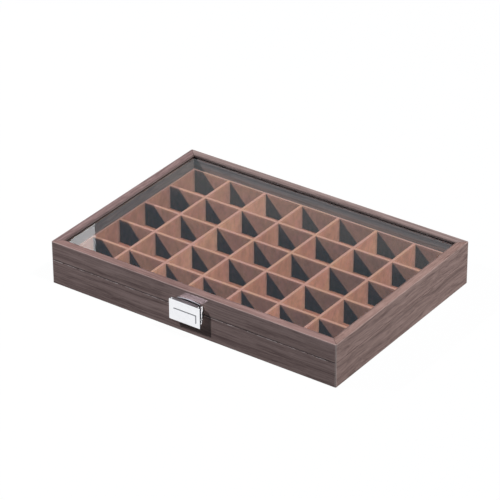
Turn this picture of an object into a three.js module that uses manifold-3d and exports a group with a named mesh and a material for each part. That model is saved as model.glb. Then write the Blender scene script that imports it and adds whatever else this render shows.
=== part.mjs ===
// Jewelry organizer box with a glazed lid: a mitred base tray with thirty-five velvet cells, a mitred
// lid frame, two surface hinges at the back and a sprung press latch at the front. Millimetres, +Z up.
// The origin is the centre of the underside, +X is along the front and -Y is the side with the latch.
import * as THREE from "three";
import { mergeVertices } from "three/addons/utils/BufferGeometryUtils.js";
import Module from "manifold-3d";

// Box
const boxLength = 358;
const boxWidth = 248;
const boxHeight = 50;
const baseHeight = 28;
const wallThickness = 10;
const cornerRadius = 1.5; // upright outer corners
const edgeRound = 0.8; // outer edge of the rim
const seamRound = 0.4; // edges on both sides of the seam
const seatGap = 0.3; // between pieces that are glued, screwed or laid against each other

// Bottom of the base
const rebateWidth = 5; // step at the foot of the walls, which takes the panel
const feltThickness = 1.2;
const panelThickness = 3;
const floorThickness = 1;

// Velvet insert
const cellColumns = 7;
const cellRows = 5;
const liningThickness = 2;
const dividerThickness = 3;
const insertTop = 33.2; // tops of linings and dividers, above the seam
const foldRound = 0.9; // velvet folded over a top edge

// Lid
const glassThickness = 2;
const lipHeight = 2.1; // rim above the glass
const lidSkin = 6; // rail behind the glass and the inner boards

// Hinges at the back
const hingeInset = 59; // from the box's end to the middle of a hinge
const hingeLength = 30;
const leafHeight = 11.5;
const leafThickness = 0.8;
const leafCorner = 1.5;
const knuckleCount = 5;
const knuckleRadius = 2;
const hingePinRadius = 0.85;
const pinClearance = 0.35; // round both pins
const hingeScrewSpacing = 18;

// Screws
const screwHeadRadius = 1.7;
const screwHeadHeight = 0.7;
const screwShankRadius = 0.8;
const screwLength = 4.5;
const screwSlotWidth = 0.5;
const screwSlotDepth = 0.35;

// Latch
// Reach is measured out from the front face. Heights are from the base's top edge, below it negative.
const flapWidth = 38.6;
const flapBottom = -11.5;
const flapTop = 12;
const flapReach = 9;
const flapSheet = 1;
const flapCorner = 0.8;
const flapFootRound = 0.3;
const flangeRound = 0.8; // over the rear edge of the top flange
const flangeBow = 3; // the flange's rear edge bows towards the lid in the middle
const padWidth = 28.6;
const padBottom = -7.2;
const padTop = 2.6;
const padRise = 1.2;
const padBevel = 0.4;
const toothReach = 2.5; // inner end of the flap's top flange
const toothDrop = 1.4;
const toothWidth = 16; // the tooth is a tab in the middle of the flange
const cheekInset = 2; // from the flap's side edge
const cheekFoot = -7.5;
const cheekShoulder = -1; // below it the cheek slants forward, clear of the wall as the flap rocks
const cheekRear = 1;
const cheekFootRear = 3.2;
const earRise = 1;
const earRadius = 1.3;
const earRound = 1.24;
const pivotReach = 4.2;
const pivotHeight = -3;
const latchPinRadius = 0.8;
const rivetRadius = 1.5;
const rivetHeight = 0.5;
const latchSheet = 0.9; // bracket and keeper
const bracketBottom = -11;
const bracketEyeRadius = 2.2;
const bracketHeelRound = 2;
const bracketEarRound = 2.1;
const bracketScrewHeight = -8;
const bracketScrewSpacing = 20;
const keeperWidth = 28;
const keeperBottom = 2;
const keeperTop = 13;
const keeperCorner = 1.5;
const keeperArch = 1.6; // rise of the keeper's top edge in the middle
const keeperTopRound = 0.45;
const keeperLipRound = 0.3;
const keeperLip = 2.15; // how far the lip stands out, inside the tooth
const keeperLipBottom = 6.2;
const keeperLipTop = 9.1;
const keeperScrewHeight = 4.2;
const keeperScrewSpacing = 19;

// Torsion spring on the latch pin
const springWire = 0.6;
const springTurns = 6;
const springGap = 0.5; // between neighbouring turns
const springRearLeg = 2;
const springFrontLeg = 4.5;

// Facets
const roundSteps = 4;
const archSteps = 12;
const smallRoundSteps = 3;
const cylinderSides = 20;
const screwSides = 12;
const springSteps = 8; // for each turn
const springSides = 5;
const springProbes = 216; // points along the wire where its turns are measured apart

// Cutting
const over = 1; // how far a cutter runs past the face that it cuts
const weldDistance = 0.0001;

// Sizes that follow from the ones above
const seamHeight = baseHeight + seatGap;
const lidHeight = boxHeight - seamHeight;
const rebateHeight = feltThickness + seatGap + panelThickness + seatGap;
const panelBottom = feltThickness + seatGap;
const floorBottom = rebateHeight;
const floorTop = floorBottom + floorThickness;
const innerLength = boxLength - 2 * wallThickness;
const innerWidth = boxWidth - 2 * wallThickness;
const insertLength = innerLength - 2 * seatGap;
const insertWidth = innerWidth - 2 * seatGap;
const insertBottom = floorTop + seatGap;
const insertHeight = insertTop - insertBottom;
const crateLength = insertLength - 2 * liningThickness;
const crateWidth = insertWidth - 2 * liningThickness;
const glassTop = boxHeight - lipHeight - seatGap;
const glassBottom = glassTop - glassThickness;
const frontFace = -boxWidth / 2;
const backFace = boxWidth / 2;
const hingeAxisY = backFace + seatGap + knuckleRadius;
const hingeAxisZ = baseHeight + seatGap / 2;
const flapSeat = flapReach - flapSheet;
const cheekOuter = flapWidth / 2 - cheekInset;
const bracketWidth = 2 * (cheekOuter - flapSheet - seatGap);
const pinHole = latchPinRadius + pinClearance;
const springRadius = pinHole + springWire / 2 + seatGap / 2;
const springPitch = springWire + springGap;

// Finishes
const finish = (color, roughness, metalness, extra = {}) =>
  new THREE.MeshStandardMaterial({ color, roughness, metalness, ...extra });
const walnut = finish(0x6b4c43, 0.55, 0);
const velvet = finish(0xb98d78, 0.95, 0);
const felt = finish(0x2b2624, 0.95, 0);
const panelBoard = finish(0x8a7257, 0.8, 0);
const glass = finish(0xdfe8ea, 0.05, 0, { transparent: true, opacity: 0.25 });
const chrome = finish(0xdedee2, 0.08, 1);
const steel = finish(0xb9b4aa, 0.3, 1);

// Joining and cutting
const wasm = await Module();
wasm.setup();

function solidOf(geometry) {
  const bare = geometry.clone();
  bare.deleteAttribute("normal");
  bare.deleteAttribute("uv");
  const merged = mergeVertices(bare, weldDistance);
  return new wasm.Manifold(
    new wasm.Mesh({
      numProp: 3,
      vertProperties: new Float32Array(merged.attributes.position.array),
      triVerts: new Uint32Array(merged.index.array),
    }),
  );
}

function geometryOf(solid) {
  const { vertProperties, triVerts } = solid.getMesh();
  const indexed = new THREE.BufferGeometry();
  indexed.setAttribute("position", new THREE.BufferAttribute(vertProperties, 3));
  indexed.setIndex(new THREE.BufferAttribute(triVerts, 1));
  const faceted = indexed.toNonIndexed();
  faceted.computeVertexNormals();
  return faceted;
}

const join = (first, ...others) => others.reduce((sum, solid) => sum.add(solid), first);
const cut = (first, ...others) => others.reduce((rest, solid) => rest.subtract(solid), first);

function pieceOf(name, solid, material) {
  const mesh = new THREE.Mesh(geometryOf(solid), material);
  mesh.name = name;
  return mesh;
}

function placed(object, x, y, z, turn = 0) {
  object.position.set(x, y, z);
  object.rotation.z = turn;
  return object;
}

// Shapes

function block(x0, x1, y0, y1, z0, z1) {
  const geometry = new THREE.BoxGeometry(x1 - x0, y1 - y0, z1 - z0);
  geometry.translate((x0 + x1) / 2, (y0 + y1) / 2, (z0 + z1) / 2);
  return solidOf(geometry);
}

// Extrudes a flat shape up the Z axis.
function prism(shape, z0, z1, curveSegments = roundSteps) {
  const geometry = new THREE.ExtrudeGeometry(shape, { depth: z1 - z0, bevelEnabled: false, curveSegments });
  geometry.translate(0, 0, z0);
  return solidOf(geometry);
}

// Extrudes a section drawn as (y, z) along the X axis.
const sectionToX = new THREE.Matrix4().makeBasis(
  new THREE.Vector3(0, 1, 0),
  new THREE.Vector3(0, 0, 1),
  new THREE.Vector3(1, 0, 0),
);

function sweepX(section, x0, x1, curveSegments = roundSteps) {
  const geometry = new THREE.ExtrudeGeometry(section, { depth: x1 - x0, bevelEnabled: false, curveSegments });
  geometry.translate(0, 0, x0);
  geometry.applyMatrix4(sectionToX);
  return solidOf(geometry);
}

// Extrudes an outline drawn as (x, z) from y0 to y1.
function sweepY(outline, y0, y1, curveSegments = roundSteps) {
  const geometry = new THREE.ExtrudeGeometry(outline, { depth: y1 - y0, bevelEnabled: false, curveSegments });
  geometry.rotateX(Math.PI / 2);
  geometry.translate(0, y1, 0);
  return solidOf(geometry);
}

function cylinderX(radius, x0, x1, y, z, sides = cylinderSides) {
  const geometry = new THREE.CylinderGeometry(radius, radius, x1 - x0, sides);
  geometry.rotateZ(Math.PI / 2);
  geometry.translate((x0 + x1) / 2, y, z);
  return solidOf(geometry);
}

// A cone or cylinder along Y, with its own radius at each end.
function coneY(radius0, radius1, x, y0, y1, z, sides = screwSides) {
  const geometry = new THREE.CylinderGeometry(radius1, radius0, y1 - y0, sides);
  geometry.translate(x, (y0 + y1) / 2, z);
  return solidOf(geometry);
}

// A polygon with a radius at each corner: points are [x, y, radius].
function roundedShape(points) {
  const shape = new THREE.Shape();
  points.forEach(([x, y, radius = 0], i) => {
    const corner = new THREE.Vector2(x, y);
    const before = new THREE.Vector2(...points.at(i - 1).slice(0, 2));
    const after = new THREE.Vector2(...points[(i + 1) % points.length].slice(0, 2));
    const draw = i ? "lineTo" : "moveTo";
    if (!radius) {
      shape[draw](x, y);
      return;
    }
    const toBefore = before.sub(corner).normalize();
    const toAfter = after.sub(corner).normalize();
    const halfAngle = Math.acos(toBefore.dot(toAfter)) / 2;
    const back = radius / Math.tan(halfAngle);
    const from = corner.clone().addScaledVector(toBefore, back);
    const to = corner.clone().addScaledVector(toAfter, back);
    const middle = toBefore.add(toAfter).normalize();
    const centre = corner.clone().addScaledVector(middle, radius / Math.sin(halfAngle));
    const start = Math.atan2(from.y - centre.y, from.x - centre.x);
    const end = Math.atan2(to.y - centre.y, to.x - centre.x);
    const sweep = Math.atan2(Math.sin(end - start), Math.cos(end - start));
    shape[draw](from.x, from.y);
    shape.absarc(centre.x, centre.y, radius, start, start + sweep, sweep < 0);
  });
  shape.closePath();
  return shape;
}

const roundedRectangle = (x0, x1, y0, y1, radius) =>
  roundedShape([
    [x0, y0, radius],
    [x1, y0, radius],
    [x1, y1, radius],
    [x0, y1, radius],
  ]);

// Mitred boards
// A board lies along X, its outer face at y = 0 and its inside towards +Y. Its section is drawn as (y, z).

function mitredBoard(section, length, thickness, height) {
  const reach = thickness + over;
  const glueLine = (seatGap / 2) * Math.SQRT2;
  const half = length / 2 - glueLine;
  const wedge = new THREE.Shape([
    new THREE.Vector2(-half - over, -over),
    new THREE.Vector2(half + over, -over),
    new THREE.Vector2(half - reach, reach),
    new THREE.Vector2(-half + reach, reach),
  ]);
  const board = sweepX(section, -length / 2, length / 2, smallRoundSteps);
  return board.intersect(prism(wedge, -over, height + over));
}

// An outer board, whose ends take the round of the box's upright corners
function outerBoard(section, place, height) {
  const length = sideLength(place, 0);
  const across = place.along ? boxWidth : boxLength;
  const outline = roundedRectangle(-length / 2, length / 2, 0, across, cornerRadius);
  const board = mitredBoard(section, length, wallThickness, height);
  return board.intersect(prism(outline, -over, height + over));
}

// The four sides in turn: name, turn about Z, and whether the board runs along the box.
const sides = [
  { side: "front", turn: 0, along: true, x: 0, y: -1 },
  { side: "right", turn: Math.PI / 2, along: false, x: 1, y: 0 },
  { side: "back", turn: Math.PI, along: true, x: 0, y: 1 },
  { side: "left", turn: -Math.PI / 2, along: false, x: -1, y: 0 },
];

const atSide = (object, { turn, x, y }, inset, z) =>
  placed(object, x * (boxLength / 2 - inset), y * (boxWidth / 2 - inset), z, turn);

const sideLength = ({ along }, inset) => (along ? boxLength : boxWidth) - 2 * inset;

// Pilot hole for a screw, from the outer face of a board
const pilotHole = (x, z) =>
  coneY(screwShankRadius + seatGap, screwShankRadius + seatGap, x, -over, screwLength + seatGap, z);

const sideNames = ["left", "right"];
const pairOf = (spacing, height) => [-spacing / 2, spacing / 2].map((x) => [x, height]);

// Hinge screws sit half way up each leaf.
const leafMiddle = knuckleRadius + seatGap + leafHeight / 2;
const hingeCentres = [-1, 1].map((way) => way * (boxLength / 2 - hingeInset));
const hingeScrews = (up) =>
  hingeCentres.flatMap((centre) =>
    pairOf(hingeScrewSpacing, hingeAxisZ + up * leafMiddle).map(([x, z]) => [centre + x, z]),
  );

// Base

function baseWall(place) {
  const section = roundedShape([
    [0, 0, seamRound],
    [wallThickness - rebateWidth, 0],
    [wallThickness - rebateWidth, rebateHeight],
    [wallThickness, rebateHeight],
    [wallThickness, baseHeight, seamRound],
    [0, baseHeight, seamRound],
  ]);
  const screws = {
    front: pairOf(bracketScrewSpacing, baseHeight + bracketScrewHeight),
    back: hingeScrews(-1),
  };
  const holes = (screws[place.side] ?? []).map(([x, z]) => pilotHole(x, z));
  const board = outerBoard(section, place, baseHeight);
  const mesh = pieceOf(`base_${place.side}_wall`, cut(board, ...holes), walnut);
  return atSide(mesh, place, 0, 0);
}

// A flat sheet let in from the walls' outer faces by the given inset.
function sheet(name, inset, bottom, thickness, material) {
  const halfLength = boxLength / 2 - inset;
  const halfWidth = boxWidth / 2 - inset;
  const solid = block(-halfLength, halfLength, -halfWidth, halfWidth, 0, thickness);
  return placed(pieceOf(name, solid, material), 0, 0, bottom);
}

function baseBottom() {
  const rebateInset = wallThickness - rebateWidth + seatGap;
  return [
    sheet("base_underside_felt", rebateInset, 0, feltThickness, felt),
    sheet("base_bottom_panel", rebateInset, panelBottom, panelThickness, panelBoard),
    sheet("base_floor_lining", wallThickness + seatGap, floorBottom, floorThickness, velvet),
  ];
}

// Velvet insert
// Linings and dividers share one section: a thin board with the velvet folded over its top edge.

const boardSection = (thickness) =>
  roundedShape([
    [-thickness / 2, 0],
    [thickness / 2, 0],
    [thickness / 2, insertHeight, foldRound],
    [-thickness / 2, insertHeight, foldRound],
  ]);

const velvetBoard = (length, thickness) =>
  sweepX(boardSection(thickness), -length / 2, length / 2, smallRoundSteps);

function lining(place) {
  const length = place.along ? insertLength : insertWidth - 2 * (liningThickness + seatGap);
  const mesh = pieceOf(`lining_${place.side}`, velvetBoard(length, liningThickness), velvet);
  return atSide(mesh, place, wallThickness + seatGap + liningThickness / 2, insertBottom);
}

// Centre lines of the dividers that part a span into equal cells
function dividerLines(span, cells) {
  const cell = (span - (cells - 1) * dividerThickness) / cells;
  const pitch = cell + dividerThickness;
  return Array.from({ length: cells - 1 }, (_, i) => -span / 2 + (i + 1) * pitch - dividerThickness / 2);
}

const crossLines = dividerLines(crateLength, cellColumns);
const longLines = dividerLines(crateWidth, cellRows);

// Half-lap slots: the long dividers are slotted from above, the cross dividers from below.
function divider(name, length, crossings, fromAbove) {
  const half = insertHeight / 2;
  const z0 = fromAbove ? half - seatGap / 2 : -over;
  const z1 = fromAbove ? insertHeight + over : half + seatGap / 2;
  const halfSlot = dividerThickness / 2 + seatGap;
  const slots = crossings.map((x) =>
    block(x - halfSlot, x + halfSlot, -dividerThickness, dividerThickness, z0, z1),
  );
  return pieceOf(name, cut(velvetBoard(length, dividerThickness), ...slots), velvet);
}

const longDividers = () =>
  longLines.map((y, i) => {
    const length = crateLength - 2 * seatGap;
    return placed(divider(`long_divider_${i + 1}`, length, crossLines, true), 0, y, insertBottom);
  });

const crossDividers = () =>
  crossLines.map((x, i) => {
    const length = crateWidth - 2 * seatGap;
    const mesh = divider(`cross_divider_${i + 1}`, length, longLines, false);
    return placed(mesh, x, 0, insertBottom, Math.PI / 2);
  });

// Lid

function lidRail(place) {
  const section = roundedShape([
    [0, 0, seamRound],
    [lidSkin, 0],
    [lidSkin, lidHeight - lipHeight],
    [wallThickness, lidHeight - lipHeight],
    [wallThickness, lidHeight, seamRound],
    [0, lidHeight, edgeRound],
  ]);
  const screws = {
    front: pairOf(keeperScrewSpacing, keeperScrewHeight - seatGap),
    back: hingeScrews(1).map(([x, z]) => [x, z - seamHeight]),
  };
  const holes = (screws[place.side] ?? []).map(([x, z]) => pilotHole(x, z));
  const board = outerBoard(section, place, lidHeight);
  const mesh = pieceOf(`lid_${place.side}_rail`, cut(board, ...holes), walnut);
  return atSide(mesh, place, 0, seamHeight);
}

// Inner boards stand in the rails' rebate, flush with the rim, and hold the glass up from below.
function lidInnerBoard(place) {
  const inset = lidSkin + seatGap;
  const thickness = wallThickness - inset;
  const height = glassBottom - seatGap - seamHeight;
  const section = roundedShape([
    [0, 0],
    [thickness, 0, seamRound],
    [thickness, height, seamRound],
    [0, height],
  ]);
  const solid = mitredBoard(section, sideLength(place, inset), thickness, height);
  return atSide(pieceOf(`lid_inner_${place.side}`, solid, walnut), place, inset, seamHeight);
}

const lidGlass = () => sheet("lid_glass", lidSkin + seatGap, glassBottom, glassThickness, glass);

// Hinges
// Drawn about the pin: X along it, the box at -Y, the lid leaf upwards and the base leaf downwards.

function hingeLeaf(name, up, knuckles) {
  const pitch = hingeLength / knuckleCount;
  const near = -knuckleRadius;
  const far = near + leafThickness;
  const edge = knuckleRadius + seatGap;
  const plate = sweepY(
    roundedRectangle(-hingeLength / 2, hingeLength / 2, edge, edge + leafHeight, leafCorner),
    near,
    far,
  );
  const straps = knuckles.flatMap((k) => {
    const x0 = -hingeLength / 2 + k * pitch + seatGap / 2;
    const x1 = x0 + pitch - seatGap;
    return [
      cylinderX(knuckleRadius, x0, x1, 0, 0),
      block(x0, x1, near, far, 0, edge + leafCorner),
    ];
  });
  const bore = cylinderX(
    hingePinRadius + pinClearance,
    -hingeLength / 2 - over,
    hingeLength / 2 + over,
    0,
    0,
  );
  const holeRadius = screwShankRadius + seatGap;
  const sinkRadius = screwHeadRadius + seatGap;
  const sinkTop = near + screwHeadHeight;
  const holes = pairOf(hingeScrewSpacing, leafMiddle).flatMap(([x, z]) => [
    coneY(holeRadius, holeRadius, x, near - over, far, z),
    coneY(holeRadius, sinkRadius, x, near, sinkTop, z),
    coneY(sinkRadius, sinkRadius, x, sinkTop, far + over, z),
  ]);
  const leaf = cut(join(plate, ...straps), bore, ...holes);
  return pieceOf(name, up > 0 ? leaf : leaf.mirror([0, 0, 1]), steel);
}

// A pin along X with a domed head at each end, each outside what the pin passes through.
function headedPin(name, length, radius, headRadius, headHeight, material) {
  const half = length / 2 + seatGap;
  const dome = headHeight / 2;
  const profile = [
    new THREE.Vector2(0, -half - headHeight),
    new THREE.Vector2(headRadius - dome, -half - headHeight),
    new THREE.Vector2(headRadius, -half - dome),
    new THREE.Vector2(headRadius, -half),
    new THREE.Vector2(radius, -half),
    new THREE.Vector2(radius, half),
    new THREE.Vector2(headRadius, half),
    new THREE.Vector2(headRadius, half + dome),
    new THREE.Vector2(headRadius - dome, half + headHeight),
    new THREE.Vector2(0, half + headHeight),
  ];
  const geometry = new THREE.LatheGeometry(profile, cylinderSides);
  geometry.rotateZ(-Math.PI / 2);
  return pieceOf(name, solidOf(geometry), material);
}

// A countersunk or a round-headed wood screw: its seat is at z = 0, its head above and its shank below.
function screw(name, countersunk, material) {
  const rim = screwHeadHeight / 2;
  const head = countersunk
    ? [
        new THREE.Vector2(screwShankRadius, 0),
        new THREE.Vector2(screwHeadRadius, screwHeadHeight),
        new THREE.Vector2(0, screwHeadHeight),
      ]
    : [
        new THREE.Vector2(screwShankRadius, 0),
        new THREE.Vector2(screwHeadRadius, 0),
        new THREE.Vector2(screwHeadRadius, rim),
        new THREE.Vector2(screwHeadRadius - rim, screwHeadHeight),
        new THREE.Vector2(0, screwHeadHeight),
      ];
  const profile = [
    new THREE.Vector2(0, -screwLength),
    new THREE.Vector2(screwShankRadius, -screwLength + 2 * screwShankRadius),
    ...head,
  ];
  const geometry = new THREE.LatheGeometry(profile, screwSides);
  geometry.rotateX(Math.PI / 2);
  const halfSlot = screwSlotWidth / 2;
  const slot = block(
    -screwHeadRadius,
    screwHeadRadius,
    -halfSlot,
    halfSlot,
    screwHeadHeight - screwSlotDepth,
    screwHeadHeight + over,
  );
  return pieceOf(name, cut(solidOf(geometry), slot), material);
}

// Screws stand out from the front (-1) or from the back (+1) of the box.
function screwAt(name, countersunk, material, x, y, z, facing) {
  const mesh = screw(name, countersunk, material);
  mesh.rotation.x = (-facing * Math.PI) / 2;
  mesh.position.set(x, y, z);
  return mesh;
}

const lowerKnuckles = Array.from({ length: knuckleCount }, (_, k) => k).filter((k) => k % 2 === 0);
const upperKnuckles = Array.from({ length: knuckleCount }, (_, k) => k).filter((k) => k % 2 === 1);

function hingeHalf(up) {
  const half = up > 0 ? "upper" : "lower";
  const knuckles = up > 0 ? upperKnuckles : lowerKnuckles;
  const leafSeat = backFace + seatGap;
  return hingeCentres.flatMap((centre, i) => {
    const leaf = hingeLeaf(`hinge_${sideNames[i]}_${half}_leaf`, up, knuckles);
    const screws = pairOf(hingeScrewSpacing, hingeAxisZ + up * leafMiddle).map(([x, z], s) =>
      screwAt(`hinge_${sideNames[i]}_${half}_screw_${s + 1}`, true, steel, centre + x, leafSeat, z, 1),
    );
    return [placed(leaf, centre, hingeAxisY, hingeAxisZ), ...screws];
  });
}

const hingePins = () =>
  hingeCentres.map((centre, i) => {
    const pin = headedPin(
      `hinge_${sideNames[i]}_pin`,
      hingeLength - seatGap,
      hingePinRadius,
      knuckleRadius - seatGap,
      rivetHeight,
      steel,
    );
    return placed(pin, centre, hingeAxisY, hingeAxisZ);
  });

// Latch
// Sections are drawn as (reach, z), with reach out from the front face, and turned to face -Y.

const sweepLatch = (section, x0, x1, curveSegments) =>
  sweepX(section, x0, x1, curveSegments).mirror([0, 1, 0]);

const latchOutline = (outline, reach0, reach1) => sweepY(outline, -reach1, -reach0, smallRoundSteps);

// A rectangle whose far side bows outwards by the given rise in the middle.
function bowed(halfWidth, near, far, rise) {
  const shape = new THREE.Shape();
  shape.moveTo(-halfWidth, near);
  shape.lineTo(halfWidth, near);
  shape.lineTo(halfWidth, far);
  shape.quadraticCurveTo(0, far + 2 * rise, -halfWidth, far);
  shape.closePath();
  return shape;
}

function latchFlap() {
  const sheetSection = roundedShape([
    [flapSeat, flapBottom],
    [flapReach, flapBottom, flapFootRound],
    [flapReach, flapTop, flapSheet],
    [toothReach, flapTop, flangeRound],
    [toothReach, flapTop - flapSheet - toothDrop],
    [toothReach + flapSheet, flapTop - flapSheet - toothDrop],
    [toothReach + flapSheet, flapTop - flapSheet],
    [flapSeat, flapTop - flapSheet],
  ]);
  const halfWidth = flapWidth / 2;
  const bent = sweepLatch(sheetSection, -halfWidth, halfWidth);
  const frontOutline = roundedRectangle(-halfWidth, halfWidth, flapBottom, flapTop + over, flapCorner);
  const square = bent.intersect(latchOutline(frontOutline, 0, flapReach + over));
  const flangePlan = bowed(halfWidth, -flapReach - over, -toothReach - flangeBow, flangeBow);
  const planned = square.intersect(prism(flangePlan, flapBottom - over, flapTop + over, archSteps));
  const besideTooth = [-1, 1].map((way) => {
    const ends = [(way * toothWidth) / 2, way * (halfWidth + over)].sort((a, b) => a - b);
    return block(...ends, -toothReach - flapSheet, 0, flapBottom, flapTop - flapSheet);
  });
  const trimmed = cut(planned, ...besideTooth);

  const padStep = (shrink, rise) =>
    latchOutline(
      roundedRectangle(
        -padWidth / 2 + shrink,
        padWidth / 2 - shrink,
        padBottom + shrink,
        padTop - shrink,
        flapCorner,
      ),
      flapSeat + flapSheet / 2,
      flapReach + rise,
    );
  const pad = join(padStep(0, padRise - padBevel), padStep(padBevel, padRise));

  const cheekSection = roundedShape([
    [flapSeat + flapSheet / 2, cheekFoot],
    [flapSeat + flapSheet / 2, flapTop - flapSheet / 2],
    [cheekRear, flapTop - flapSheet / 2, flapSheet],
    [cheekRear, cheekShoulder],
    [cheekFootRear, cheekFoot],
  ]);
  const earReach = flapReach - flapSheet - earRadius;
  const earSection = roundedShape([
    [earReach - earRadius, flapTop - flapSheet],
    [earReach + earRadius, flapTop - flapSheet],
    [earReach + earRadius, flapTop + earRise, earRound],
    [earReach - earRadius, flapTop + earRise, earRound],
  ]);
  const cheeks = [-1, 1].flatMap((way) => {
    const ends = [way * (cheekOuter - flapSheet), way * cheekOuter].sort((a, b) => a - b);
    return [sweepLatch(cheekSection, ...ends), sweepLatch(earSection, ...ends)];
  });
  const bore = cylinderX(pinHole, -halfWidth, halfWidth, -pivotReach, pivotHeight);
  const flap = cut(join(trimmed, pad, ...cheeks), bore);
  return pieceOf("latch_flap", flap, chrome);
}

function latchBracket() {
  const halfWidth = bracketWidth / 2;
  const top = pivotHeight + bracketEyeRadius;
  const plate = latchOutline(
    roundedRectangle(-halfWidth, halfWidth, bracketBottom, top, keeperCorner),
    seatGap,
    seatGap + latchSheet,
  );
  const earSection = roundedShape([
    [seatGap, bracketScrewHeight],
    [seatGap + latchSheet, bracketScrewHeight],
    [pivotReach + bracketEyeRadius, pivotHeight - bracketEyeRadius, bracketHeelRound],
    [pivotReach + bracketEyeRadius, top, bracketEarRound],
    [seatGap, top],
  ]);
  const ears = [-1, 1].map((way) => {
    const ends = [way * (halfWidth - latchSheet), way * halfWidth].sort((a, b) => a - b);
    return sweepLatch(earSection, ...ends);
  });
  const bore = cylinderX(pinHole, -halfWidth - over, halfWidth + over, -pivotReach, pivotHeight);
  const holes = pairOf(bracketScrewSpacing, bracketScrewHeight).map(([x, z]) =>
    coneY(screwShankRadius + seatGap, screwShankRadius + seatGap, x, -seatGap - latchSheet - over, over, z),
  );
  return pieceOf("latch_bracket", cut(join(plate, ...ears), bore, ...holes), chrome);
}

function latchKeeper() {
  const front = seatGap + latchSheet;
  const section = roundedShape([
    [seatGap, keeperBottom],
    [front, keeperBottom],
    [front, keeperLipBottom],
    [keeperLip, keeperLipTop - latchSheet, keeperLipRound],
    [keeperLip, keeperLipTop, keeperLipRound],
    [front, keeperLipTop],
    [front, keeperTop, keeperTopRound],
    [seatGap, keeperTop],
  ]);
  const halfWidth = keeperWidth / 2;
  const bent = sweepLatch(section, -halfWidth, halfWidth, smallRoundSteps);
  const outline = roundedRectangle(-halfWidth, halfWidth, keeperBottom, keeperTop, keeperCorner);
  const square = bent.intersect(latchOutline(outline, 0, keeperLip + over));
  const arch = bowed(halfWidth, keeperBottom - over, keeperTop - keeperArch, keeperArch);
  const trimmed = square.intersect(sweepY(arch, -keeperLip - over, 0, archSteps));
  const holes = pairOf(keeperScrewSpacing, keeperScrewHeight).map(([x, z]) =>
    coneY(screwShankRadius + seatGap, screwShankRadius + seatGap, x, -keeperLip - over, over, z),
  );
  return pieceOf("latch_keeper", cut(trimmed, ...holes), chrome);
}

// A torsion spring round the pin: a rear leg that bears on the bracket, the coil, and a front leg that
// pushes the foot of the flap outwards.
class SpringLine extends THREE.Curve {
  constructor() {
    super();
    this.coil = springTurns * 2 * Math.PI * springRadius;
    this.total = springRearLeg + this.coil + springFrontLeg;
  }

  getPoint(t, target = new THREE.Vector3()) {
    const along = t * this.total;
    const start = -(springTurns * springPitch) / 2;
    if (along < springRearLeg) return target.set(start, springRadius, springRearLeg - along);
    const turned = (along - springRearLeg) / springRadius;
    const whole = springTurns * 2 * Math.PI;
    const angle = Math.min(turned, whole);
    const x = start + (angle / (2 * Math.PI)) * springPitch;
    const past = Math.max(0, along - springRearLeg - this.coil);
    return target.set(x, springRadius * Math.cos(angle), -springRadius * Math.sin(angle) - past);
  }
}

// Least distance between the wire's surfaces at points that are at least half a turn apart
function springClearance(line, steps) {
  const points = line.getPoints(steps);
  const apart = Math.ceil((steps * Math.PI * springRadius) / line.total);
  let least = Infinity;
  points.forEach((a, i) => {
    for (let j = i + apart; j < points.length; j++) least = Math.min(least, a.distanceTo(points[j]));
  });
  return least - springWire;
}

function latchSpring() {
  const line = new SpringLine();
  const steps = springTurns * springSteps + springSteps;
  const ring = new THREE.Shape();
  ring.absarc(0, 0, springWire / 2, 0, 2 * Math.PI, false);
  const geometry = new THREE.ExtrudeGeometry(ring, {
    steps,
    curveSegments: springSides,
    extrudePath: line,
    bevelEnabled: false,
  });
  console.log(`spring: least gap between turns ${springClearance(line, springProbes).toFixed(2)} mm`);
  return pieceOf("latch_spring", solidOf(geometry), steel);
}

const latchPin = () =>
  headedPin("latch_pin", 2 * cheekOuter, latchPinRadius, rivetRadius, rivetHeight, steel);

function latchScrews(owner, spacing, height) {
  const seat = frontFace - seatGap - latchSheet - seatGap;
  return pairOf(spacing, height).map(([x, z], i) =>
    screwAt(`${owner}_screw_${sideNames[i]}`, false, steel, x, seat, baseHeight + z, -1),
  );
}

// Assembly

const base = new THREE.Group();
base.add(...sides.map(baseWall), ...baseBottom());
base.add(...sides.map(lining), ...longDividers(), ...crossDividers());
base.add(...hingeHalf(-1), ...hingePins());
base.add(placed(latchBracket(), 0, frontFace, baseHeight));
base.add(...latchScrews("bracket", bracketScrewSpacing, bracketScrewHeight));
base.add(placed(latchPin(), 0, frontFace - pivotReach, baseHeight + pivotHeight));

const lid = new THREE.Group();
lid.add(...sides.map(lidRail), ...sides.map(lidInnerBoard), lidGlass());
lid.add(...hingeHalf(1));
lid.add(placed(latchKeeper(), 0, frontFace, baseHeight));
lid.add(...latchScrews("keeper", keeperScrewSpacing, keeperScrewHeight));

const latch = new THREE.Group();
latch.add(placed(latchFlap(), 0, frontFace, baseHeight));
latch.add(placed(latchSpring(), 0, frontFace - pivotReach, baseHeight + pivotHeight));

const organizerBox = new THREE.Group();
organizerBox.add(base, lid, latch);

export default organizerBox;
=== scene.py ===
import math
import bmesh
import bpy
from mathutils import Matrix, Vector, noise


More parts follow.
